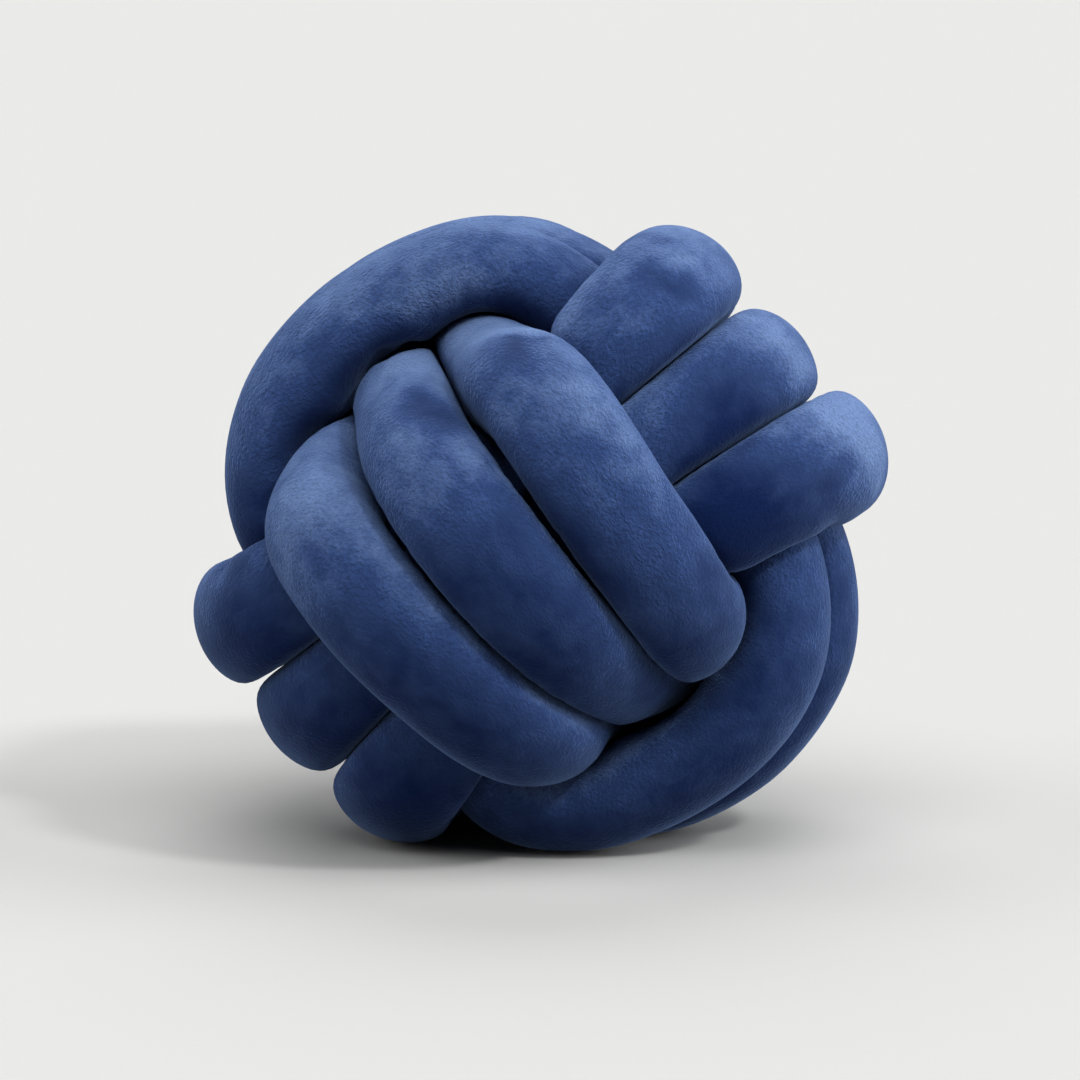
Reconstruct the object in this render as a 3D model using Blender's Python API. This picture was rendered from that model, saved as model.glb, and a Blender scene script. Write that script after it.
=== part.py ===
"""Knot cushion: one long stuffed tube of plush, wound into a ball of three crossing bands.

Each band has three turns that lie side by side. It runs over one neighbour and under the other, and the tube
passes from band to band through the middle of the ball. Its two ends are sewn to each other there, so the
whole cushion is one closed loop of tube.
"""

import math

import bmesh
import bpy
import numpy as np
from mathutils import Euler
from mathutils.bvhtree import BVHTree

# The stuffed tube, in metres. Its width is from turn to turn of one band, and its depth is out of the ball
TUBE_ON_TOP = {"width": 0.0488, "depth": 0.0324}
TUBE_UNDERNEATH = {"width": 0.0358, "depth": 0.0312}
TUBE_IN_THE_MIDDLE = {"width": 0.0340, "depth": 0.0340}
SWELL_WIDTH = 0.0044  # how much wider the stuffing makes the tube where nothing presses on it
SWELL_DEPTH = 0.0068
SWELL_SHARE = 1.12  # the most that a pressed section grows elsewhere to keep its area
FILL_IN_THE_MIDDLE = 0.85  # how much further, as a share, the stuffing fills the tube out inside the ball
FILL_INWARD = 1.20  # and towards the middle of the ball from the turns that lie underneath
PRESS_GAP = 0.0010  # clear space left between two pressed turns
PRESS_CORNERS = 9.0  # a pressed section's corners, from 4 for soft to 20 for hard

# The three bands, in metres: how far the middle of the tube is from the middle of the ball where the band
# lies on top, where it lies underneath and half-way between; the turns' spacing there; how the band's outer
# turns drop away from its middle one; how far the whole band is moved along its axis, to its top and to its
# side; and how much its turns fan out towards one end of its front and back
BANDS = (
    {
        "over": 0.1275, "under": 0.0765, "shoulder": 0.0975, "space_over": 0.0515, "space_under": 0.0310,
        "crown": 0.61, "along": -0.0015, "up": 0.0055, "aside": -0.0040,
        "fan_front": -0.0185, "fan_back": 0.0190,
    },
    {
        "over": 0.1210, "under": 0.0685, "shoulder": 0.1070, "space_over": 0.0465, "space_under": 0.0300,
        "crown": 1.02, "along": -0.0085, "up": 0.0040, "aside": 0.0070,
        "fan_front": -0.0150, "fan_back": -0.0110,
    },
    {
        "over": 0.1215, "under": 0.0635, "shoulder": 0.0980, "space_over": 0.0470, "space_under": 0.0320,
        "crown": 0.46, "along": 0.0030, "up": 0.0010, "aside": 0.0050,
        "fan_front": -0.0005, "fan_back": 0.0055,
    },
)
TURNS = 3
CROSS_OVER = 34.0  # degrees each side of a band's hidden crossing, in which a turn shifts to the next place
ROOM_TO_CROSS = 0.20  # how much wider the turns lie there
LEAVE = 32.0  # degrees from the hidden crossing at which the tube turns into the middle of the ball
ANGLE_STEP = 3.0

# The way through the middle of the ball, in each band's own axes, in metres
CORE_POINT = (0.0, 0.0134, 0.0346)
CORE_HEADING = (-0.65, -0.75, 0.0)
CORE_POINTS = 14

# How the turns are eased apart, so that none lies inside another
EASE_POINTS = 420
EASE_ROUNDS = 70
EASE_START = 0.6  # the share of the tube's sizes at the first round
EASE_PUSH = 0.6
EASE_HOLD = 0.03  # how strongly a point is held to its place in the table
EASE_STIFFNESS = 0.3
SAME_STRETCH = 0.062  # points closer than this along the tube don't press on each other

# How the ball lies, in degrees, and how far its weight flattens it where it rests
LIE = (-50.8, -5.4, -96.1)
FLAT_SPOT = 0.005

# Where a hand has pulled the turns as the ball lies, in metres: the place, measured from the middle of the
# ball, how far round it the pull reaches, and how far it moves the tube to the right and up
PULLS = (
    {"x": -0.020, "y": -0.066, "z": 0.088, "reach": 0.036, "right": 0.011, "up": -0.013},
    {"x": -0.084, "y": -0.070, "z": 0.028, "reach": 0.030, "right": -0.001, "up": -0.009},
    {"x": -0.095, "y": -0.026, "z": 0.004, "reach": 0.030, "right": 0.000, "up": -0.006},
    {"x": -0.020, "y": -0.025, "z": 0.112, "reach": 0.042, "right": -0.001, "up": 0.003},
    {"x": -0.116, "y": -0.008, "z": -0.036, "reach": 0.045, "right": -0.005, "up": 0.000},
    {"x": 0.112, "y": -0.010, "z": 0.052, "reach": 0.050, "right": 0.008, "up": 0.001},
)

# The mesh. Its facets are drawn in a little at a time wherever two turns' facets still cut each other
RINGS = 384
SIDES = 12
DRAW_IN = 0.0006
DRAW_IN_ROUNDS = 60
FACET_GAP = 0.0004
BLUE = (0.018, 0.060, 0.230, 1.0)
ROUGHNESS = 0.85


def smooth_step(x):
    x = np.clip(x, 0.0, 1.0)
    return x * x * (3.0 - 2.0 * x)


def blurred(values, rounds):
    """Values along the closed loop, each averaged with its neighbours."""
    for _ in range(rounds):
        values = (np.roll(values, 1, 0) + 2.0 * values + np.roll(values, -1, 0)) / 4.0
    return values


def lengths(vectors):
    return np.linalg.norm(vectors, axis=-1, keepdims=True)


def in_ball(number, top, side, axis):
    """Points given along band NUMBER's top, side and axis directions, in the ball's own axes."""
    points = np.zeros((len(top), 3))
    points[:, number] = top
    points[:, (number + 1) % 3] = side
    points[:, (number + 2) % 3] = axis
    return points


def band_line(number, degrees):
    """The middle of the tube around one band, where DEGREES runs on from turn to turn."""
    band = BANDS[number]
    angle = np.radians(degrees)
    mean = (band["over"] + band["under"]) / 2.0
    distance = (
        (mean + band["shoulder"]) / 2.0
        + (band["over"] - band["under"]) / 2.0 * np.cos(2.0 * angle)
        + (mean - band["shoulder"]) / 2.0 * np.cos(4.0 * angle)
    )
    place = -1.0 + sum(
        smooth_step((degrees - 90.0 - 360.0 * turn + CROSS_OVER) / (2.0 * CROSS_OVER))
        for turn in range(1, TURNS)
    )
    crossing = np.abs((degrees + 90.0) % 360.0 - 180.0) / CROSS_OVER
    room = 1.0 + ROOM_TO_CROSS * smooth_step(1.0 - crossing)
    on_top = np.cos(angle) ** 2
    spacing = band["space_over"] * on_top + band["space_under"] * (1.0 - on_top)
    fan = np.where(np.cos(angle) > 0.0, band["fan_front"], band["fan_back"])
    fan = fan * on_top * np.sin(angle) * np.sign(np.cos(angle))
    along = place * (spacing * room + fan) + band["along"]
    out = np.sqrt(distance**2 - band["crown"] * along**2)
    top = out * np.cos(angle) + band["up"]
    side = out * np.sin(angle) + band["aside"]
    return in_ball(number, top, side, along)


def bent_line(start, start_pull, end, end_pull, count):
    """COUNT points of a smooth curve, without its end."""
    u = np.linspace(0.0, 1.0, count, endpoint=False)[:, None]
    return (
        (2 * u**3 - 3 * u**2 + 1) * start
        + (u**3 - 2 * u**2 + u) * start_pull
        + (3 * u**2 - 2 * u**3) * end
        + (u**3 - u**2) * end_pull
    )


def core_pass(number, band, following):
    """The way through the middle of the ball, from the end of one band to the start of the next."""
    middle = in_ball(number, *np.array(CORE_POINT)[:, None])[0]
    heading = in_ball(number, *np.array(CORE_HEADING)[:, None])[0]
    heading /= lengths(heading)
    leaving = band[-1] - band[-2]
    arriving = following[1] - following[0]
    inward = lengths(middle - band[-1])
    outward = lengths(following[0] - middle)
    first = bent_line(
        band[-1], leaving / lengths(leaving) * inward, middle, heading * inward, CORE_POINTS
    )
    second = bent_line(
        middle, heading * outward, following[0], arriving / lengths(arriving) * outward, CORE_POINTS
    )
    return np.concatenate([first[1:], second])


def wound_route():
    """The closed middle line of the tube.

    Beside each point stand two shares, from 0 to 1: how far it is in the middle of the ball, and how far on
    top.
    """
    first, last = 90.0 + LEAVE, 90.0 + 360.0 * TURNS - LEAVE
    degrees = np.arange(first, last + ANGLE_STEP / 2.0, ANGLE_STEP)
    on_top = np.cos(np.radians(degrees)) ** 2
    bands = [band_line(number, degrees) for number in range(len(BANDS))]
    stretches, shares = [], []
    for number, band in enumerate(bands):
        through = core_pass(number, band, bands[(number + 1) % len(bands)])
        stretches += [band, through]
        shares += [np.column_stack([0.0 * on_top, on_top]), np.array([[1.0, 0.0]] * len(through))]
    return np.concatenate(stretches), np.concatenate(shares)


def evenly_spaced(points, shares, count):
    """The closed line through POINTS at COUNT even steps, with its SHARES carried along."""
    steps = lengths(np.roll(points, -1, 0) - points)[:, 0]
    travel = np.concatenate([[0.0], np.cumsum(steps)])
    stops = np.linspace(0.0, travel[-1], count, endpoint=False)
    columns = np.column_stack([points, shares])
    columns = np.vstack([columns, columns[:1]])
    even = np.column_stack([np.interp(stops, travel, column) for column in columns.T])
    return even[:, :3], even[:, 3:]


def section_axes(points):
    """At each point the tube's heading, the way out of the ball and the way across the tube."""
    heading = np.roll(points, -1, 0) - np.roll(points, 1, 0)
    heading /= lengths(heading)
    out = points - (points * heading).sum(1, keepdims=True) * heading
    out /= lengths(out)
    return heading, out, np.cross(heading, out)


def half_size(name, shares):
    """Half the tube's width or depth at each point."""
    in_middle, on_top = blurred(shares, 4).T
    banded = TUBE_ON_TOP[name] * on_top + TUBE_UNDERNEATH[name] * (1.0 - on_top)
    return (banded * (1.0 - in_middle) + TUBE_IN_THE_MIDDLE[name] * in_middle) / 2.0


def along_tube(count, step):
    """The distance along the tube between each two of COUNT points."""
    number = np.arange(count)
    apart = np.abs(number[None] - number[:, None])
    return np.minimum(apart, count - apart) * step


def ease_apart(points, shares):
    """Moves turns that are closer than their thickness away from each other, and keeps the line smooth."""
    count = len(points)
    placed = points.copy()
    width, depth = half_size("width", shares), half_size("depth", shares)
    for number in range(EASE_ROUNDS):
        if number % 8 == 0:
            step = lengths(np.roll(points, -1, 0) - points).mean()
            apart = lengths(points[None] - points[:, None])[..., 0]
            close = (apart < 1.4 * TUBE_ON_TOP["width"]) & (along_tube(count, step) > SAME_STRETCH)
            one, other = np.nonzero(np.triu(close))
            _, out, across = section_axes(points)
        between = points[other] - points[one]
        distance = lengths(between)[:, 0]
        unit = between / distance[:, None]
        reach = 0.0
        for end in (one, other):
            outward = (out[end] * unit).sum(1)
            sideways = (across[end] * unit).sum(1)
            reach = reach + np.hypot(depth[end] * outward, width[end] * sideways) / np.hypot(
                outward, sideways
            )
        share = EASE_START + (1.0 - EASE_START) * number / (0.5 * EASE_ROUNDS)
        overlap = np.maximum(0.0, min(1.0, share) * reach - distance)
        total = np.bincount(one, overlap, count) + np.bincount(other, overlap, count)
        push = np.column_stack([
            np.bincount(other, overlap**2 * column, count) - np.bincount(one, overlap**2 * column, count)
            for column in unit.T
        ])
        push *= EASE_PUSH / np.maximum(total, 1e-9)[:, None]
        points = points + blurred(push, 2) + EASE_HOLD * (placed - points)
        for _ in range(2):
            bend = (np.roll(points, 1, 0) + np.roll(points, -1, 0)) / 2.0 - points
            points = points - EASE_STIFFNESS * ((np.roll(bend, 1, 0) + np.roll(bend, -1, 0)) / 2.0 - bend)
    return points


def pressed(free, limit):
    """Radii held to their limits, with soft corners."""
    return (free**-PRESS_CORNERS + limit**-PRESS_CORNERS) ** (-1.0 / PRESS_CORNERS)


def pressed_radii(points, shares, directions):
    """How far the tube's skin is from its middle line along each ring's DIRECTIONS.

    A lone tube has an oval section. Where another turn is near, each skin keeps to its own side of the plane
    half-way between the two middle lines, and the section swells elsewhere to keep its area. Inside the ball
    the stuffing fills the room that is left.
    """
    count, sides = directions.shape[:2]
    _, out, across = section_axes(points)
    width = half_size("width", shares) + SWELL_WIDTH / 2.0
    depth = half_size("depth", shares) + SWELL_DEPTH / 2.0
    outward = np.einsum("rsk,rk->rs", directions, out)
    sideways = np.einsum("rsk,rk->rs", directions, across)
    free = 1.0 / np.hypot(outward / depth[:, None], sideways / width[:, None])
    in_middle, on_top = blurred(shares, 4).T
    underneath = (1.0 - in_middle - on_top)[:, None]
    filled = 1.0 + FILL_IN_THE_MIDDLE * in_middle[:, None]
    filled = filled + FILL_INWARD * underneath * np.maximum(0.0, -outward) ** 2
    step = lengths(np.roll(points, -1, 0) - points).mean()
    travel = along_tube(count, step)
    limit = np.full((count, sides), 1.0)
    for ring in range(count):
        between = points - points[ring]
        distance = lengths(between)[:, 0]
        near = (travel[ring] > SAME_STRETCH) & (distance < 1.8 * TUBE_ON_TOP["width"])
        facing = directions[ring] @ (between[near] / distance[near, None]).T
        allowed = (distance[near] - PRESS_GAP) / 2.0 / np.maximum(facing, 0.08)
        limit[ring] = np.min(np.where(facing > 0.08, allowed, 1.0), axis=1, initial=1.0)
    grown = np.ones(count)
    for _ in range(3):
        radii = pressed(free * grown[:, None], limit)
        lost = (free**2).sum(1) / (radii**2).sum(1)
        grown = blurred(np.clip(grown * np.sqrt(lost), 1.0, SWELL_SHARE), 3)
    return pressed(free * grown[:, None] * filled, limit)


def round_tube(points):
    """A plain round tube around the closed line, with its rings in the order of POINTS."""
    curve = bpy.data.curves.new("knot_tube", "CURVE")
    curve.dimensions = "3D"
    curve.bevel_depth = TUBE_ON_TOP["depth"] / 2.0
    curve.bevel_resolution = SIDES // 2 - 2
    spline = curve.splines.new("POLY")
    spline.points.add(len(points) - 1)
    spline.points.foreach_set("co", np.column_stack([points, np.ones(len(points))]).ravel())
    spline.use_cyclic_u = True
    route = bpy.data.objects.new("knot_route", curve)
    bpy.context.scene.collection.objects.link(route)
    bpy.context.view_layer.update()
    mesh = bpy.data.meshes.new_from_object(route.evaluated_get(bpy.context.evaluated_depsgraph_get()))
    bpy.data.objects.remove(route)
    return mesh


def cutting_points(skin):
    """The numbers of the skin's points on facets that cut a facet of another turn."""
    tree = BVHTree.FromBMesh(skin)
    corners = [{vert.index for vert in face.verts} for face in skin.faces]
    return {
        point
        for one, other in tree.overlap(tree)
        if corners[one].isdisjoint(corners[other])
        for point in corners[one] | corners[other]
    }


def press_turns(mesh, points, shares):
    """Moves the tube's skin to the shape that its neighbours leave it, clear of them by the facets' gap."""
    skin = bmesh.new()
    skin.from_mesh(mesh)
    bmesh.ops.triangulate(skin, faces=skin.faces[:])
    skin.verts.ensure_lookup_table()
    rings = np.array([vert.co[:] for vert in skin.verts]).reshape(len(points), SIDES, 3)
    directions = rings - points[:, None]
    directions /= lengths(directions)
    radii = pressed_radii(points, shares, directions)
    for _ in range(DRAW_IN_ROUNDS):
        place = points[:, None] + directions * (radii + FACET_GAP / 2.0)[:, :, None]
        for vert, position in zip(skin.verts, place.reshape(-1, 3)):
            vert.co = position
        cutting = cutting_points(skin)
        if not cutting:
            break
        drawn = np.zeros(radii.size)
        drawn[list(cutting)] = DRAW_IN
        drawn = blurred(blurred(drawn.reshape(radii.shape), 1).T, 1).T
        radii -= drawn
    place = points[:, None] + directions * radii[:, :, None]
    for vert, position in zip(skin.verts, set_down(place.reshape(-1, 3))):
        vert.co = position
    skin.to_mesh(mesh)
    skin.free()


def as_it_lies(points):
    """The middle line turned as the ball lies, and pulled."""
    turn = Euler([math.radians(angle) for angle in LIE]).to_matrix()
    points = points @ np.array(turn).T
    for pull in PULLS:
        place = np.array([pull["x"], pull["y"], pull["z"]])
        near = np.exp(-((lengths(points - place) / pull["reach"]) ** 2))
        points = points + near * np.array([pull["right"], 0.0, pull["up"]])
    return points


def set_down(skin):
    """The skin lowered into its flat spots and centred over the origin."""
    skin[:, 2] = np.maximum(0.0, skin[:, 2] - skin[:, 2].min() - FLAT_SPOT)
    skin[:, :2] -= (skin[:, :2].min(0) + skin[:, :2].max(0)) / 2.0
    return skin


def plush():
    material = bpy.data.materials.new("blue_plush")
    material.use_nodes = True
    surface = material.node_tree.nodes["Principled BSDF"]
    surface.inputs["Base Color"].default_value = BLUE
    surface.inputs["Roughness"].default_value = ROUGHNESS
    surface.inputs["Metallic"].default_value = 0.0
    return material


def knot_tube():
    points, shares = evenly_spaced(*wound_route(), EASE_POINTS)
    points = as_it_lies(ease_apart(blurred(points, 2), shares))
    points, shares = evenly_spaced(points, shares, RINGS)
    mesh = round_tube(points)
    mesh.name = "knot_tube"
    press_turns(mesh, points, shares)
    mesh.materials.clear()
    mesh.materials.append(plush())
    mesh.shade_smooth()
    return bpy.data.objects.new("knot_tube", mesh)


def main():
    for thing in list(bpy.data.objects):
        bpy.data.objects.remove(thing)
    cushion = bpy.data.collections.new("knot_cushion")
    bpy.context.scene.collection.children.link(cushion)
    cushion.objects.link(knot_tube())


main()
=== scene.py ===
"""Knot cushion: the looks of one long stuffed plush tube, wound into a ball of three crossing bands.

The tube's route repeats the sizes that the frame was made from. The skin is then wound, pressed and creased
finely, and covered with a short pile, combed paler and darker in patches. Its colour holds painted light
too: paler where it faces up or is lit, and darker underneath where it lies in shade.
"""

import math

import bmesh
import bpy
import numpy as np
from mathutils import Euler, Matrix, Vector, noise


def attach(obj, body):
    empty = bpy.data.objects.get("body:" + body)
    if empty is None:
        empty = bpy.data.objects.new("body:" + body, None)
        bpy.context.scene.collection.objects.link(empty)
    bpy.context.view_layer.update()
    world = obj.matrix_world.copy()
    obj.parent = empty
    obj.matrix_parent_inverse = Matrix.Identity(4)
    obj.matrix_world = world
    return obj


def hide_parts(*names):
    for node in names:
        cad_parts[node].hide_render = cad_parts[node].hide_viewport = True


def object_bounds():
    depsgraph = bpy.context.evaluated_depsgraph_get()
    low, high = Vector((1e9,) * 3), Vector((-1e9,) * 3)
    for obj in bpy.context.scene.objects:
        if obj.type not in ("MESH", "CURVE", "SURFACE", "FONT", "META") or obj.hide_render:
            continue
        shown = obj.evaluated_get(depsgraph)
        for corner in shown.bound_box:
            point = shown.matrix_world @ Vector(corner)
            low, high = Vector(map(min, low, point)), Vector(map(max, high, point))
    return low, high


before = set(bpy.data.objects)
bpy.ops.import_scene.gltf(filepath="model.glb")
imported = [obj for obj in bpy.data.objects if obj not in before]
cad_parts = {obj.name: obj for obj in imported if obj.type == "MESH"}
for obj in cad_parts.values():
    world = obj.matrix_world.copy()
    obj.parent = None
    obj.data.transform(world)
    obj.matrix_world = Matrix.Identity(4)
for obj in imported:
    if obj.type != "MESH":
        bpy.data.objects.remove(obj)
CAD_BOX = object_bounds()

# The stuffed tube, in metres. Its width is from turn to turn of one band, and its depth is out of the ball
TUBE_ON_TOP = {"width": 0.0488, "depth": 0.0324}
TUBE_UNDERNEATH = {"width": 0.0358, "depth": 0.0312}
TUBE_IN_THE_MIDDLE = {"width": 0.0340, "depth": 0.0340}
SWELL_WIDTH = 0.0044  # how much wider the stuffing makes the tube where nothing presses on it
SWELL_DEPTH = 0.0068
SWELL_SHARE = 1.12  # the most that a pressed section grows elsewhere to keep its area
FILL_IN_THE_MIDDLE = 0.85  # how much further, as a share, the stuffing fills the tube out inside the ball
FILL_INWARD = 1.20  # and towards the middle of the ball from the turns that lie underneath
PRESS_GAP = 0.0003  # clear space left between two pressed turns
PRESS_CORNERS = 10.0  # a pressed section's corners, from 4 for soft to 20 for hard

# The three bands, in metres: how far the middle of the tube is from the middle of the ball where the band
# lies on top, where it lies underneath and half-way between; the turns' spacing there; how the band's outer
# turns drop away from its middle one; how far the whole band is moved along its axis, to its top and to its
# side; and how much its turns fan out towards one end of its front and back
BANDS = (
    {
        "over": 0.1275, "under": 0.0765, "shoulder": 0.0975, "space_over": 0.0515, "space_under": 0.0310,
        "crown": 0.61, "along": -0.0015, "up": 0.0055, "aside": -0.0040,
        "fan_front": -0.0185, "fan_back": 0.0190,
    },
    {
        "over": 0.1210, "under": 0.0685, "shoulder": 0.1070, "space_over": 0.0465, "space_under": 0.0300,
        "crown": 1.02, "along": -0.0085, "up": 0.0040, "aside": 0.0070,
        "fan_front": -0.0150, "fan_back": -0.0110,
    },
    {
        "over": 0.1215, "under": 0.0635, "shoulder": 0.0980, "space_over": 0.0470, "space_under": 0.0320,
        "crown": 0.46, "along": 0.0030, "up": 0.0010, "aside": 0.0050,
        "fan_front": -0.0005, "fan_back": 0.0055,
    },
)
TURNS = 3
CROSS_OVER = 34.0  # degrees each side of a band's hidden crossing, in which a turn shifts to the next place
ROOM_TO_CROSS = 0.20  # how much wider the turns lie there
LEAVE = 32.0  # degrees from the hidden crossing at which the tube turns into the middle of the ball
ANGLE_STEP = 3.0

# The way through the middle of the ball, in each band's own axes, in metres
CORE_POINT = (0.0, 0.0134, 0.0346)
CORE_HEADING = (-0.65, -0.75, 0.0)
CORE_POINTS = 14

# How the turns are eased apart, so that none lies inside another
EASE_POINTS = 420
EASE_ROUNDS = 70
EASE_START = 0.6  # the share of the tube's sizes at the first round
EASE_PUSH = 0.6
EASE_HOLD = 0.03  # how strongly a point is held to its place in the table
EASE_STIFFNESS = 0.3
SAME_STRETCH = 0.062  # points closer than this along the tube don't press on each other
EASE_NEAR = 1.4  # how close turns are when they can push each other, in widths of the tube

# How the ball lies, in degrees, and how far its weight flattens it where it rests
LIE = (-50.8, -5.4, -96.1)
FLAT_SPOT = 0.005

# Where a hand has pulled the turns as the ball lies, in metres: the place, measured from the middle of the
# ball, how far round it the pull reaches, and how far it moves the tube to the right and up
PULLS = (
    {"x": -0.020, "y": -0.066, "z": 0.088, "reach": 0.036, "right": 0.011, "up": -0.013},
    {"x": -0.084, "y": -0.070, "z": 0.028, "reach": 0.030, "right": -0.001, "up": -0.009},
    {"x": -0.095, "y": -0.026, "z": 0.004, "reach": 0.030, "right": 0.000, "up": -0.006},
    {"x": -0.020, "y": -0.025, "z": 0.112, "reach": 0.042, "right": -0.001, "up": 0.003},
    {"x": -0.116, "y": -0.008, "z": -0.036, "reach": 0.045, "right": -0.005, "up": 0.000},
    {"x": 0.112, "y": -0.010, "z": 0.052, "reach": 0.050, "right": 0.008, "up": 0.001},
)

# The fine skin, in metres. Lumps of stuffing change its radius by a share
RINGS = 1700
SIDES = 56
SKIN_ROUND = 0.130  # the way round the tube
SOFT_FLOOR = 0.002  # how gradually a turn flattens on to the floor
LUMPS = ({"size": 0.070, "share": 0.030}, {"size": 0.028, "share": 0.012})
SECTION_BLUR = 60  # how gradually the tube's sizes change along it
PRESS_REACH = 1.8  # how close turns are when they can press on each other, in widths of the tube
PRESS_FACING = 0.08  # the least share by which a side faces a turn that presses on it
PRESS_ROUNDS = 3

# Where the turns are stuffed fuller or, below 0, flatter, in metres from the ball's middle: a line from one
# point to another, how far round it they are so and by what share of their radius
FULLER = (
    {"start": (0.062, -0.050, 0.112), "end": (0.122, -0.050, 0.045), "wide": 0.040, "share": 0.10},
    {"start": (-0.115, -0.065, -0.026), "end": (-0.056, -0.070, -0.095), "wide": 0.036, "share": 0.08},
    {"start": (-0.115, 0.000, 0.080), "end": (-0.077, 0.000, 0.112), "wide": 0.026, "share": 0.12},
    {"start": (0.130, 0.000, -0.062), "end": (0.104, 0.000, -0.092), "wide": 0.034, "share": 0.15},
    {"start": (0.094, 0.005, 0.094), "end": (0.132, 0.005, 0.056), "wide": 0.030, "share": -0.12},
    {"start": (-0.045, -0.010, 0.128), "end": (0.000, -0.010, 0.132), "wide": 0.028, "share": -0.08},
)

# The ruffles beside the creases, in metres
RUFFLE_LENGTH = 0.007
RUFFLE_DEPTH = 0.0005
RUFFLE_REACH = 0.16  # how far from the crease they reach, as a share of the radius

# Folds and dents in the finished skin, in metres: a line from one point to another, and how wide and deep
DENTS = (
    {"start": (-0.050, -0.096, 0.199), "end": (-0.040, -0.104, 0.190), "wide": 0.009, "deep": 0.0022},
    {"start": (-0.004, -0.096, 0.225), "end": (-0.004, -0.106, 0.217), "wide": 0.008, "deep": 0.0018},
    {"start": (0.046, -0.062, 0.243), "end": (0.058, -0.060, 0.240), "wide": 0.007, "deep": 0.0018},
    {"start": (-0.058, -0.030, 0.218), "end": (-0.052, -0.016, 0.210), "wide": 0.004, "deep": 0.0030},
    {"start": (-0.066, -0.036, 0.212), "end": (-0.060, -0.022, 0.203), "wide": 0.004, "deep": 0.0022},
    {"start": (-0.136, -0.040, 0.121), "end": (-0.126, -0.052, 0.115), "wide": 0.004, "deep": 0.0020},
    {"start": (0.116, -0.070, 0.156), "end": (0.122, -0.052, 0.142), "wide": 0.006, "deep": 0.0025},
)

# The pile's colours: the deep blue is also painted shade underneath, the pale blue also painted light on
# lit faces. The pile's strokes and grain are in waves to a metre, round the tube and along it
DEEP_BLUE_AND_PAINTED_SHADE = (0.001, 0.009, 0.053, 1.0)
PLUSH_BLUE = (0.016, 0.035, 0.109, 1.0)
PALE_BLUE_AND_PAINTED_LIGHT = (0.070, 0.112, 0.224, 1.0)
SHEEN = (0.34, 0.54, 1.0, 1.0)
STROKES = (110.0, 90.0)
GRAIN = (760.0, 640.0)
GRAIN_DEPTH = 0.0024  # in metres
PILE_SLANT = 24.0  # how far the pile's grain leans off the tube's own direction, in degrees

# How the pile's tone is set: paler above 0 and darker below. Faces that look up are paler than the
# others, which is painted light from above with painted shade underneath
PAINTED_LIGHT_UPWARD = 0.66
NAP_EVERYWHERE = -0.12
NAP_PATCHES = ({"size": 0.050, "share": 0.26}, {"size": 0.017, "share": 0.18})
# Strokes of tone: partly combed patches, partly painted light where lit and painted shade where shaded
BRUSHED_AND_PAINTED_LIGHT = (
    {"start": (-0.051, -0.097, 0.199), "end": (-0.040, -0.104, 0.192), "wide": 0.011, "nap_and_painted_light": -0.90},
    {"start": (-0.010, -0.096, 0.224), "end": (-0.010, -0.106, 0.216), "wide": 0.009, "nap_and_painted_light": -0.90},
    {"start": (0.046, -0.060, 0.244), "end": (0.056, -0.060, 0.240), "wide": 0.010, "nap_and_painted_light": -0.55},
    {"start": (-0.098, -0.098, 0.158), "end": (-0.098, -0.106, 0.118), "wide": 0.020, "nap_and_painted_light": 0.55},
    {"start": (-0.060, -0.110, 0.182), "end": (-0.052, -0.130, 0.150), "wide": 0.018, "nap_and_painted_light": 0.30},
    {"start": (0.002, -0.106, 0.050), "end": (0.030, -0.112, 0.085), "wide": 0.020, "nap_and_painted_light": 0.20},
    {"start": (-0.007, -0.135, 0.155), "end": (0.012, -0.132, 0.130), "wide": 0.018, "nap_and_painted_light": -0.35},
    {"start": (0.098, -0.038, 0.217), "end": (0.128, -0.042, 0.183), "wide": 0.016, "nap_and_painted_light": 0.55},
    {"start": (0.134, -0.036, 0.174), "end": (0.141, -0.033, 0.158), "wide": 0.015, "nap_and_painted_light": 0.80},
    {"start": (0.076, -0.074, 0.196), "end": (0.078, -0.090, 0.155), "wide": 0.020, "nap_and_painted_light": -0.70},
    {"start": (0.102, -0.080, 0.160), "end": (0.092, -0.088, 0.150), "wide": 0.018, "nap_and_painted_light": -0.40},
    {"start": (0.100, -0.072, 0.096), "end": (0.070, -0.074, 0.060), "wide": 0.020, "nap_and_painted_light": -0.45},
    {"start": (-0.121, -0.037, 0.140), "end": (-0.120, -0.064, 0.102), "wide": 0.020, "nap_and_painted_light": -0.55},
    {"start": (-0.085, -0.070, 0.050), "end": (-0.061, -0.069, 0.026), "wide": 0.022, "nap_and_painted_light": -0.45},
    {"start": (-0.045, -0.044, 0.232), "end": (-0.028, -0.044, 0.238), "wide": 0.014, "nap_and_painted_light": 0.70},
    {"start": (-0.049, -0.050, 0.209), "end": (-0.003, -0.076, 0.226), "wide": 0.014, "nap_and_painted_light": 0.45},
    {"start": (0.002, -0.036, 0.254), "end": (0.056, -0.026, 0.257), "wide": 0.016, "nap_and_painted_light": -0.28},
)
WAVER = {"by": 0.004, "over": 0.012}  # how far the strokes' edges waver, in metres, and over what length

# Where each light comes from, how many degrees across it is and how strong it is
LIGHTS = (
    {"from": (0.50, -0.48, 0.72), "soft": 8.0, "power": 1.65},
    {"from": (0.00, -0.50, 0.87), "soft": 50.0, "power": 2.90},
    {"from": (0.00, 0.64, 0.77), "soft": 50.0, "power": 2.15},
    {"from": (0.94, 0.00, 0.34), "soft": 50.0, "power": 3.50},
    {"from": (-0.94, 0.00, 0.34), "soft": 50.0, "power": 1.75},
)
BACKDROP = 0.82  # how bright what is beyond the floor looks in a low view
FLOOR_GREY = (0.36, 0.36, 0.355, 1.0)
FLOOR_RADIUS = 14.0

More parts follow.
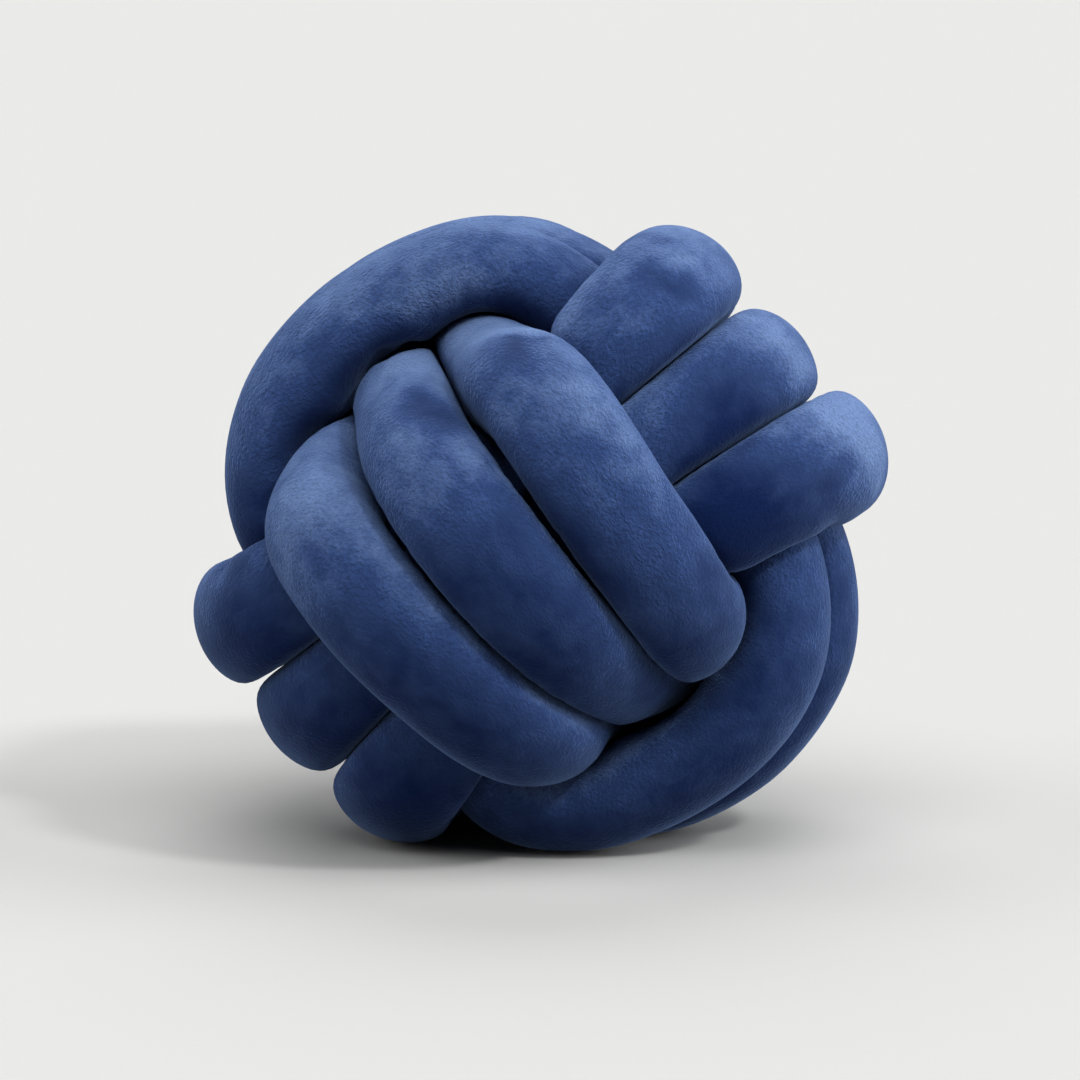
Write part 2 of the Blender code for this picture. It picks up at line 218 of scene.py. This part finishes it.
# The camera, in metres and degrees, and the photograph's frame, in pixels
CAMERA_ELEVATION = 9.0
CAMERA_DISTANCE = 2.72
CAMERA_TARGET = (-0.0001, 0.0051, 0.1258)
FRAME_WIDTH = 1080
PIXELS_PER_METRE = 2332.0  # at the ball's middle
SENSOR = 36.0


def smooth_step(x):
    x = np.clip(x, 0.0, 1.0)
    return x * x * (3.0 - 2.0 * x)


def blurred(values, rounds):
    """Values along the closed loop, each averaged with its neighbours."""
    for _ in range(rounds):
        values = (np.roll(values, 1, 0) + 2.0 * values + np.roll(values, -1, 0)) / 4.0
    return values


def lengths(vectors):
    return np.linalg.norm(vectors, axis=-1, keepdims=True)


def in_ball(number, top, side, axis):
    """Points given along band NUMBER's top, side and axis directions, in the ball's own axes."""
    points = np.zeros((len(top), 3))
    points[:, number] = top
    points[:, (number + 1) % 3] = side
    points[:, (number + 2) % 3] = axis
    return points


def band_line(number, degrees):
    """The middle of the tube around one band, where DEGREES runs on from turn to turn."""
    band = BANDS[number]
    angle = np.radians(degrees)
    mean = (band["over"] + band["under"]) / 2.0
    distance = (
        (mean + band["shoulder"]) / 2.0
        + (band["over"] - band["under"]) / 2.0 * np.cos(2.0 * angle)
        + (mean - band["shoulder"]) / 2.0 * np.cos(4.0 * angle)
    )
    place = -1.0 + sum(
        smooth_step((degrees - 90.0 - 360.0 * turn + CROSS_OVER) / (2.0 * CROSS_OVER))
        for turn in range(1, TURNS)
    )
    crossing = np.abs((degrees + 90.0) % 360.0 - 180.0) / CROSS_OVER
    room = 1.0 + ROOM_TO_CROSS * smooth_step(1.0 - crossing)
    on_top = np.cos(angle) ** 2
    spacing = band["space_over"] * on_top + band["space_under"] * (1.0 - on_top)
    fan = np.where(np.cos(angle) > 0.0, band["fan_front"], band["fan_back"])
    fan = fan * on_top * np.sin(angle) * np.sign(np.cos(angle))
    along = place * (spacing * room + fan) + band["along"]
    out = np.sqrt(distance**2 - band["crown"] * along**2)
    top = out * np.cos(angle) + band["up"]
    side = out * np.sin(angle) + band["aside"]
    return in_ball(number, top, side, along)


def bent_line(start, start_pull, end, end_pull, count):
    """COUNT points of a smooth curve, without its end."""
    u = np.linspace(0.0, 1.0, count, endpoint=False)[:, None]
    return (
        (2 * u**3 - 3 * u**2 + 1) * start
        + (u**3 - 2 * u**2 + u) * start_pull
        + (3 * u**2 - 2 * u**3) * end
        + (u**3 - u**2) * end_pull
    )


def core_pass(number, band, following):
    """The way through the middle of the ball, from the end of one band to the start of the next."""
    middle = in_ball(number, *np.array(CORE_POINT)[:, None])[0]
    heading = in_ball(number, *np.array(CORE_HEADING)[:, None])[0]
    heading /= lengths(heading)
    leaving = band[-1] - band[-2]
    arriving = following[1] - following[0]
    inward = lengths(middle - band[-1])
    outward = lengths(following[0] - middle)
    first = bent_line(
        band[-1], leaving / lengths(leaving) * inward, middle, heading * inward, CORE_POINTS
    )
    second = bent_line(
        middle, heading * outward, following[0], arriving / lengths(arriving) * outward, CORE_POINTS
    )
    return np.concatenate([first[1:], second])


def wound_route():
    """The closed middle line of the tube.

    Beside each point stand two shares, from 0 to 1: how far it is in the middle of the ball, and how far on
    top.
    """
    first, last = 90.0 + LEAVE, 90.0 + 360.0 * TURNS - LEAVE
    degrees = np.arange(first, last + ANGLE_STEP / 2.0, ANGLE_STEP)
    on_top = np.cos(np.radians(degrees)) ** 2
    bands = [band_line(number, degrees) for number in range(len(BANDS))]
    stretches, shares = [], []
    for number, band in enumerate(bands):
        through = core_pass(number, band, bands[(number + 1) % len(bands)])
        stretches += [band, through]
        shares += [np.column_stack([0.0 * on_top, on_top]), np.array([[1.0, 0.0]] * len(through))]
    return np.concatenate(stretches), np.concatenate(shares)


def evenly_spaced(points, shares, count):
    """The closed line through POINTS at COUNT even steps, with its SHARES carried along."""
    steps = lengths(np.roll(points, -1, 0) - points)[:, 0]
    travel = np.concatenate([[0.0], np.cumsum(steps)])
    stops = np.linspace(0.0, travel[-1], count, endpoint=False)
    columns = np.column_stack([points, shares])
    columns = np.vstack([columns, columns[:1]])
    even = np.column_stack([np.interp(stops, travel, column) for column in columns.T])
    return even[:, :3], even[:, 3:]


def finer(values, count):
    """Values along the closed loop, drawn through by a smooth curve and read at COUNT steps."""
    waves = np.fft.rfft(values, axis=0)
    return np.fft.irfft(waves, n=count, axis=0) * count / len(values)


def section_axes(points):
    """At each point the tube's heading, the way out of the ball and the way across the tube."""
    heading = np.roll(points, -1, 0) - np.roll(points, 1, 0)
    heading /= lengths(heading)
    out = points - (points * heading).sum(1, keepdims=True) * heading
    out /= lengths(out)
    return heading, out, np.cross(heading, out)


def half_size(name, shares, rounds):
    """Half the tube's width or depth at each point."""
    in_middle, on_top = blurred(shares, rounds).T
    banded = TUBE_ON_TOP[name] * on_top + TUBE_UNDERNEATH[name] * (1.0 - on_top)
    return (banded * (1.0 - in_middle) + TUBE_IN_THE_MIDDLE[name] * in_middle) / 2.0


def along_tube(count, step):
    """The distance along the tube between each two of COUNT points."""
    number = np.arange(count)
    apart = np.abs(number[None] - number[:, None])
    return np.minimum(apart, count - apart) * step


def ease_apart(points, shares):
    """Moves turns that are closer than their thickness away from each other, and keeps the line smooth."""
    count = len(points)
    placed = points.copy()
    width, depth = half_size("width", shares, 4), half_size("depth", shares, 4)
    for number in range(EASE_ROUNDS):
        if number % 8 == 0:
            step = lengths(np.roll(points, -1, 0) - points).mean()
            apart = lengths(points[None] - points[:, None])[..., 0]
            close = (apart < EASE_NEAR * TUBE_ON_TOP["width"]) & (along_tube(count, step) > SAME_STRETCH)
            one, other = np.nonzero(np.triu(close))
            _, out, across = section_axes(points)
        between = points[other] - points[one]
        distance = lengths(between)[:, 0]
        unit = between / distance[:, None]
        reach = 0.0
        for end in (one, other):
            outward = (out[end] * unit).sum(1)
            sideways = (across[end] * unit).sum(1)
            reach = reach + np.hypot(depth[end] * outward, width[end] * sideways) / np.hypot(
                outward, sideways
            )
        share = EASE_START + (1.0 - EASE_START) * number / (0.5 * EASE_ROUNDS)
        overlap = np.maximum(0.0, min(1.0, share) * reach - distance)
        total = np.bincount(one, overlap, count) + np.bincount(other, overlap, count)
        push = np.column_stack([
            np.bincount(other, overlap**2 * column, count) - np.bincount(one, overlap**2 * column, count)
            for column in unit.T
        ])
        push *= EASE_PUSH / np.maximum(total, 1e-9)[:, None]
        points = points + blurred(push, 2) + EASE_HOLD * (placed - points)
        for _ in range(2):
            bend = (np.roll(points, 1, 0) + np.roll(points, -1, 0)) / 2.0 - points
            points = points - EASE_STIFFNESS * ((np.roll(bend, 1, 0) + np.roll(bend, -1, 0)) / 2.0 - bend)
    return points


def random_height(points, size, layers=1):
    """A smooth random height at each of the points, from about -1 to 1, with bumps about SIZE across."""
    return np.array([noise.fractal(point, 1.0, 2.0, layers) for point in points / size])


def near_line(points, line):
    """From 1 on the line between the row's start and end down to 0 away from it."""
    start, end = np.array(line["start"]), np.array(line["end"])
    share = np.clip((points - start) @ (end - start) / ((end - start) ** 2).sum(), 0.0, 1.0)
    apart = lengths(points - start - share[:, None] * (end - start))[:, 0]
    return np.exp(-((apart / line["wide"]) ** 2))


def lumps(skin):
    """How much more than usual the stuffing fills each point of the SKIN, as a share of the radius."""
    flat = skin.reshape(-1, 3)
    more = sum(row["share"] * random_height(flat, row["size"]) for row in LUMPS)
    more += sum(row["share"] * near_line(flat, row) for row in FULLER)
    return more.reshape(skin.shape[:2])


def ruffles(press, step):
    """The depth of the small puckers beside each crease, where the pressing changes to free."""
    count, sides = press.shape
    around = np.linspace(0.0, 2.0 * math.pi, sides, endpoint=False)
    unrolled = np.empty((count, sides, 3))
    unrolled[:, :, 0] = 0.006 * np.cos(around)
    unrolled[:, :, 1] = 0.006 * np.sin(around)
    unrolled[:, :, 2] = (np.arange(count) * step)[:, None]
    waves = random_height(unrolled.reshape(-1, 3), RUFFLE_LENGTH, 2).reshape(count, sides)
    edge = np.exp(-(((press - 0.97) / RUFFLE_REACH) ** 2))
    return RUFFLE_DEPTH * edge * np.maximum(0.0, 0.2 + 1.6 * waves)


def pressed(free, limit):
    """Radii held to their limits, with soft corners."""
    return (free**-PRESS_CORNERS + limit**-PRESS_CORNERS) ** (-1.0 / PRESS_CORNERS)


def pressed_radii(points, shares, directions):
    """How far the skin is from the tube's middle line along each ring's DIRECTIONS."""
    count, sides = directions.shape[:2]
    _, out, across = section_axes(points)
    width = half_size("width", shares, SECTION_BLUR) + SWELL_WIDTH / 2.0
    depth = half_size("depth", shares, SECTION_BLUR) + SWELL_DEPTH / 2.0
    outward = np.einsum("rsk,rk->rs", directions, out)
    sideways = np.einsum("rsk,rk->rs", directions, across)
    free = 1.0 / np.hypot(outward / depth[:, None], sideways / width[:, None])
    free *= 1.0 + lumps(points[:, None] + directions * free[:, :, None])
    in_middle, on_top = blurred(shares, SECTION_BLUR).T
    underneath = (1.0 - in_middle - on_top)[:, None]
    filled = 1.0 + FILL_IN_THE_MIDDLE * in_middle[:, None]
    filled = filled + FILL_INWARD * underneath * np.maximum(0.0, -outward) ** 2
    step = lengths(np.roll(points, -1, 0) - points).mean()
    number = np.arange(count)
    limit = np.full((count, sides), 1.0)
    for ring in range(count):
        between = points - points[ring]
        distance = lengths(between)[:, 0]
        apart = np.abs(number - ring)
        near = np.minimum(apart, count - apart) * step > SAME_STRETCH
        near &= distance < PRESS_REACH * TUBE_ON_TOP["width"]
        facing = directions[ring] @ (between[near] / distance[near, None]).T
        allowed = (distance[near] - PRESS_GAP) / 2.0 / np.maximum(facing, PRESS_FACING)
        limit[ring] = np.min(np.where(facing > PRESS_FACING, allowed, 1.0), axis=1, initial=1.0)
    grown = np.ones(count)
    for _ in range(PRESS_ROUNDS):
        radii = pressed(free * grown[:, None], limit)
        lost = (free**2).sum(1) / (radii**2).sum(1)
        grown = blurred(np.clip(grown * np.sqrt(lost), 1.0, SWELL_SHARE), 40)
    press = free * grown[:, None] / limit
    return pressed(free * grown[:, None] * filled, limit) - ruffles(press, step)


def as_it_lies(points):
    """The middle line turned as the ball lies, and pulled."""
    turn = Euler([math.radians(angle) for angle in LIE]).to_matrix()
    points = points @ np.array(turn).T
    for pull in PULLS:
        place = np.array([pull["x"], pull["y"], pull["z"]])
        near = np.exp(-((lengths(points - place) / pull["reach"]) ** 2))
        points = points + near * np.array([pull["right"], 0.0, pull["up"]])
    return points


def set_down(skin):
    """The skin softly flattened where it rests and centred as the frame is."""
    height = skin[:, 2] - skin[:, 2].min() - FLAT_SPOT
    skin[:, 2] = (height + np.sqrt(height**2 + SOFT_FLOOR**2)) / 2.0
    middle = (np.array(CAD_BOX[0][:2]) + np.array(CAD_BOX[1][:2])) / 2.0
    skin[:, :2] += middle - (skin[:, :2].min(0) + skin[:, :2].max(0)) / 2.0
    return skin


def tube_from_curve(points):
    """A plain round tube around the closed line, with its rings in the order of POINTS."""
    curve = bpy.data.curves.new("plush_tube", "CURVE")
    curve.dimensions = "3D"
    curve.bevel_depth = TUBE_ON_TOP["depth"] / 2.0
    curve.bevel_resolution = SIDES // 2 - 2
    spline = curve.splines.new("POLY")
    spline.points.add(len(points) - 1)
    spline.points.foreach_set("co", np.column_stack([points, np.ones(len(points))]).ravel())
    spline.use_cyclic_u = True
    route = bpy.data.objects.new("route", curve)
    bpy.context.scene.collection.objects.link(route)
    bpy.context.view_layer.update()
    mesh = bpy.data.meshes.new_from_object(route.evaluated_get(bpy.context.evaluated_depsgraph_get()))
    bpy.data.objects.remove(route)
    return mesh


def facings(mesh):
    """Which way the skin faces at each vertex."""
    facing = np.empty(len(mesh.vertices) * 3)
    mesh.vertex_normals.foreach_get("vector", facing)
    return facing.reshape(-1, 3)


def brush_and_paint_light(mesh, skin, facing):
    """Stores the pile's tone at each vertex: combed patches, painted light above and painted shade below.
    """
    nap_and_painted_light = PAINTED_LIGHT_UPWARD * facing[:, 2] + NAP_EVERYWHERE
    for row in NAP_PATCHES:
        nap_and_painted_light += row["share"] * random_height(skin + 1.0, row["size"], 2)
    shifts = [random_height(skin + shift, WAVER["over"]) for shift in (2.0, 3.0, 4.0)]
    wavy = skin + WAVER["by"] * np.column_stack(shifts)
    for stroke in BRUSHED_AND_PAINTED_LIGHT:
        nap_and_painted_light += stroke["nap_and_painted_light"] * near_line(wavy, stroke)
    mesh.attributes.new("nap_and_painted_light", "FLOAT", "POINT").data.foreach_set("value", nap_and_painted_light)


def lay_out(mesh, length):
    """Lays the tube's skin out flat in a UV map, in metres: U goes round the tube and V along it."""
    corners = np.empty(len(mesh.loops), dtype=int)
    mesh.loops.foreach_get("vertex_index", corners)
    ring, side = np.divmod(corners.reshape(-1, 4), SIDES)
    ring[(ring == 0) & (ring.max(1) == RINGS - 1)[:, None]] = RINGS
    side[(side == 0) & (side.max(1) == SIDES - 1)[:, None]] = SIDES
    flat = np.column_stack([side.ravel() * SKIN_ROUND / SIDES, ring.ravel() * length / RINGS])
    while mesh.uv_layers:
        mesh.uv_layers.remove(mesh.uv_layers[0])
    mesh.uv_layers.new(name="unrolled").uv.foreach_set("vector", flat.ravel())


def plush_tube():
    points, shares = evenly_spaced(*wound_route(), EASE_POINTS)
    points = as_it_lies(ease_apart(blurred(points, 2), shares))
    points, shares = finer(points, RINGS), np.clip(finer(shares, RINGS), 0.0, 1.0)
    mesh = tube_from_curve(points)
    mesh.name = "plush_tube"
    rings = np.empty(len(mesh.vertices) * 3)
    mesh.vertices.foreach_get("co", rings)
    directions = rings.reshape(len(points), SIDES, 3) - points[:, None]
    directions /= lengths(directions)
    radii = pressed_radii(points, shares, directions)
    skin = set_down((points[:, None] + directions * radii[:, :, None]).reshape(-1, 3))
    mesh.vertices.foreach_set("co", skin.ravel())
    mesh.update()
    facing = facings(mesh)
    for dent in DENTS:
        skin -= facing * (dent["deep"] * near_line(skin, dent))[:, None]
    mesh.vertices.foreach_set("co", skin.ravel())
    mesh.update()
    mesh.shade_smooth()
    brush_and_paint_light(mesh, skin, facings(mesh))
    lay_out(mesh, lengths(np.roll(points, -1, 0) - points).sum())
    mesh.materials.clear()
    mesh.materials.append(plush())
    tube = bpy.data.objects.new("plush_tube", mesh)
    bpy.context.scene.collection.objects.link(tube)
    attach(tube, "root")
    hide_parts("knot_tube")
    return tube


def socket(node, name, value):
    node.inputs[name].default_value = value
    return node


def noise_value(tree, coordinates, detail, roughness, distortion):
    node = tree.nodes.new("ShaderNodeTexNoise")
    tree.links.new(coordinates, node.inputs["Vector"])
    socket(node, "Scale", 1.0)
    socket(node, "Detail", detail)
    socket(node, "Roughness", roughness)
    socket(node, "Distortion", distortion)
    return node.outputs["Fac"]


def number(tree, operation, first, second):
    node = tree.nodes.new("ShaderNodeMath")
    node.operation = operation
    for value, entry in zip((first, second), node.inputs):
        if isinstance(value, bpy.types.NodeSocket):
            tree.links.new(value, entry)
        else:
            entry.default_value = value
    return node.outputs["Value"]


def spread(tree, value, low, high, to_low=0.0, to_high=1.0):
    """VALUE taken smoothly from LOW..HIGH to TO_LOW..TO_HIGH."""
    node = tree.nodes.new("ShaderNodeMapRange")
    node.interpolation_type = "SMOOTHSTEP"
    tree.links.new(value, node.inputs["Value"])
    socket(node, "From Min", low)
    socket(node, "From Max", high)
    socket(node, "To Min", to_low)
    socket(node, "To Max", to_high)
    return node.outputs["Result"]


def blend(tree, share, first, second, way="MIX"):
    node = tree.nodes.new("ShaderNodeMix")
    node.data_type = "RGBA"
    node.blend_type = way
    for value, entry in zip((share, first, second), (node.inputs[0], node.inputs[6], node.inputs[7])):
        if isinstance(value, bpy.types.NodeSocket):
            tree.links.new(value, entry)
        else:
            entry.default_value = value
    return node.outputs[2]


def stretched(tree, coordinates, scale):
    """The unrolled skin's coordinates, in wavelengths round the tube and along it, at a slant."""
    node = tree.nodes.new("ShaderNodeMapping")
    tree.links.new(coordinates, node.inputs["Vector"])
    socket(node, "Scale", (*scale, 1.0))
    socket(node, "Rotation", (0.0, 0.0, math.radians(PILE_SLANT)))
    return node.outputs["Vector"]


def plush():
    """Short blue pile in combed patches and painted light and shade, with a fine wriggly grain."""
    material = bpy.data.materials.new("blue_plush")
    material.use_nodes = True
    tree = material.node_tree
    surface = tree.nodes["Principled BSDF"]
    layout = tree.nodes.new("ShaderNodeUVMap")
    layout.uv_map = "unrolled"
    unrolled = layout.outputs["UV"]
    # The stored tone: combed patches, painted light on faces that look up and painted shade underneath
    pile_tone = tree.nodes.new("ShaderNodeAttribute")
    pile_tone.attribute_name = "nap_and_painted_light"
    strokes = noise_value(tree, stretched(tree, unrolled, STROKES), 3.0, 0.55, 0.4)
    nap_and_painted_light = number(tree, "ADD", pile_tone.outputs["Fac"], spread(tree, strokes, 0.25, 0.75, -0.16, 0.16))
    # From deep blue, partly painted shade, through plush blue to pale blue, partly painted light
    colour = blend(tree, spread(tree, nap_and_painted_light, -0.9, 0.0), DEEP_BLUE_AND_PAINTED_SHADE, PLUSH_BLUE)
    colour = blend(tree, spread(tree, nap_and_painted_light, 0.0, 1.0), colour, PALE_BLUE_AND_PAINTED_LIGHT)
    grain = noise_value(tree, stretched(tree, unrolled, GRAIN), 2.0, 0.55, 0.6)
    # The grain is stronger where the tone is paler, so it follows the painted light as well
    grain_strength = spread(tree, nap_and_painted_light, -0.5, 0.5, 0.22, 1.0)
    height = number(tree, "MULTIPLY", grain, grain_strength)
    # The grain's colour: the pile's own tone, and painted shade darkening its hollows
    grain_tone_and_painted_shade = spread(tree, height, 0.12, 0.62, 0.80, 1.25)
    colour = blend(tree, 1.0, colour, grain_tone_and_painted_shade, "MULTIPLY")
    tree.links.new(colour, surface.inputs["Base Color"])
    socket(surface, "Roughness", 0.95)
    socket(surface, "Specular IOR Level", 0.1)
    socket(surface, "Sheen Weight", 0.30)
    socket(surface, "Sheen Roughness", 0.35)
    socket(surface, "Sheen Tint", SHEEN)
    bump = tree.nodes.new("ShaderNodeBump")
    socket(bump, "Strength", 0.8)
    socket(bump, "Distance", GRAIN_DEPTH)
    tree.links.new(height, bump.inputs["Height"])
    tree.links.new(bump.outputs["Normal"], surface.inputs["Normal"])
    return material


def pale_floor():
    mesh = bpy.data.meshes.new("floor")
    shape = bmesh.new()
    bmesh.ops.create_circle(shape, cap_ends=True, segments=96, radius=FLOOR_RADIUS)
    shape.to_mesh(mesh)
    shape.free()
    material = bpy.data.materials.new("pale_floor")
    material.use_nodes = True
    surface = material.node_tree.nodes["Principled BSDF"]
    socket(surface, "Base Color", FLOOR_GREY)
    socket(surface, "Roughness", 0.9)
    socket(surface, "Specular IOR Level", 0.1)
    mesh.materials.append(material)
    floor = bpy.data.objects.new("floor", mesh)
    bpy.context.scene.collection.objects.link(floor)


def studio_light():
    """A hard light from the front right, and broad soft ones all round."""
    for row in LIGHTS:
        sun = bpy.data.lights.new("sun", "SUN")
        sun.energy = row["power"]
        sun.angle = math.radians(row["soft"])
        light = bpy.data.objects.new("sun", sun)
        light.rotation_euler = Vector(row["from"]).to_track_quat("Z", "Y").to_euler()
        bpy.context.scene.collection.objects.link(light)
    world = bpy.data.worlds.new("studio")
    bpy.context.scene.world = world
    world.use_nodes = True
    tree = world.node_tree
    socket(tree.nodes["Background"], "Color", (1.0, 1.0, 0.99, 1.0))
    seen = tree.nodes.new("ShaderNodeLightPath").outputs["Is Camera Ray"]
    backdrop = number(tree, "MULTIPLY", seen, BACKDROP)
    tree.links.new(backdrop, tree.nodes["Background"].inputs["Strength"])
    bpy.context.scene.view_settings.view_transform = "Standard"


def camera():
    lens = bpy.data.cameras.new("camera")
    lens.sensor_width = SENSOR
    lens.lens = PIXELS_PER_METRE * CAMERA_DISTANCE / FRAME_WIDTH * SENSOR
    lens.clip_end = 60.0
    view = bpy.data.objects.new("camera", lens)
    elevation = math.radians(CAMERA_ELEVATION)
    ahead = Vector((0.0, math.cos(elevation), -math.sin(elevation)))
    view.location = Vector(CAMERA_TARGET) - ahead * CAMERA_DISTANCE
    view.rotation_euler = ahead.to_track_quat("-Z", "Y").to_euler()
    bpy.context.scene.collection.objects.link(view)
    bpy.context.scene.camera = view


plush_tube()
pale_floor()
studio_light()
camera()
